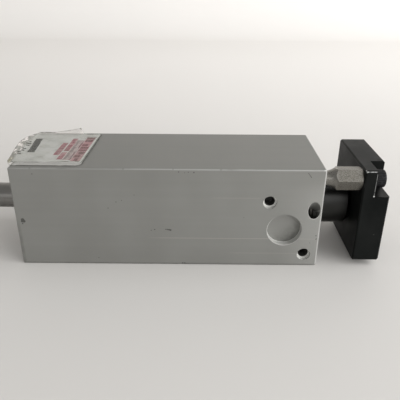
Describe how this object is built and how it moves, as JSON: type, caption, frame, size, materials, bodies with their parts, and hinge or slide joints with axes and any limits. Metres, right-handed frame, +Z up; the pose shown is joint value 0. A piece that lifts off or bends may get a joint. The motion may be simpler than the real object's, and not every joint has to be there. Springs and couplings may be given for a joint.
{
  "type": "guided pneumatic thruster",
  "caption": "Square-block pneumatic thruster with a thick front rod carrying a black tool plate, a hexagonal-headed guide pin that stops rotation, and a thin tail rod.",
  "frame": {"origin": "centre of the block's bottom face", "axes": "+X the way the tool plate extends, -Y the side with the round recess, +Z up"},
  "size_m": [0.2628, 0.0522, 0.0544],
  "materials": {
    "block_aluminium": "clear anodised extrusion, satin, fine lines along its length, small scratches",
    "gland_aluminium": "turned, clear anodised",
    "bearing_bronze": "sintered bronze, dull",
    "seal_rubber": "black nitrile",
    "wiper_rubber": "black polyurethane",
    "spring_wire": "bright spring wire",
    "bumper_urethane": "amber urethane",
    "label_print": null,
    "label_film": "clear film, yellowed, lifted at an edge",
    "dark_rod_steel": "dark nitrided, polished",
    "ground_rod_steel": "ground and polished",
    "piston_aluminium": "machined",
    "wear_ring_plastic": "filled bearing plastic",
    "plate_black": "black anodised, satin, worn bright at the notch edges",
    "screw_black": "black oxide",
    "pin_steel": "stainless, dulled and speckled"
  },
  "bodies": {
    "housing": {"body_block": "block_aluminium", "front_gland": "gland_aluminium", "rear_gland": "gland_aluminium", "front_rod_bushing": "bearing_bronze", "rear_rod_bushing": "bearing_bronze", "guide_pin_bushings": "bearing_bronze", "front_rod_seal": "seal_rubber", "rear_rod_seal": "seal_rubber", "front_rod_wiper": "wiper_rubber", "rear_rod_wiper": "wiper_rubber", "front_gland_o_ring": "seal_rubber", "rear_gland_o_ring": "seal_rubber", "front_retaining_wire": "spring_wire", "rear_retaining_wire": "spring_wire", "front_bumper": "bumper_urethane", "rear_bumper": "bumper_urethane", "label": "label_print", "label_film": "label_film"},
    "carriage": {"front_rod": "dark_rod_steel", "tail_rod": "ground_rod_steel", "piston": "piston_aluminium", "piston_seals": "seal_rubber", "piston_wear_ring": "wear_ring_plastic", "piston_static_ring": "seal_rubber", "tool_plate": "plate_black", "plate_screw": "screw_black", "guide_pin": "pin_steel", "guide_pin_screw": "screw_black"}
  },
  "joints": [
    {"name": "rod_slide", "type": "slide", "parent": "housing", "child": "carriage", "axis": [1, 0, 0], "range_m": [0, 0.0762]}
  ]
}
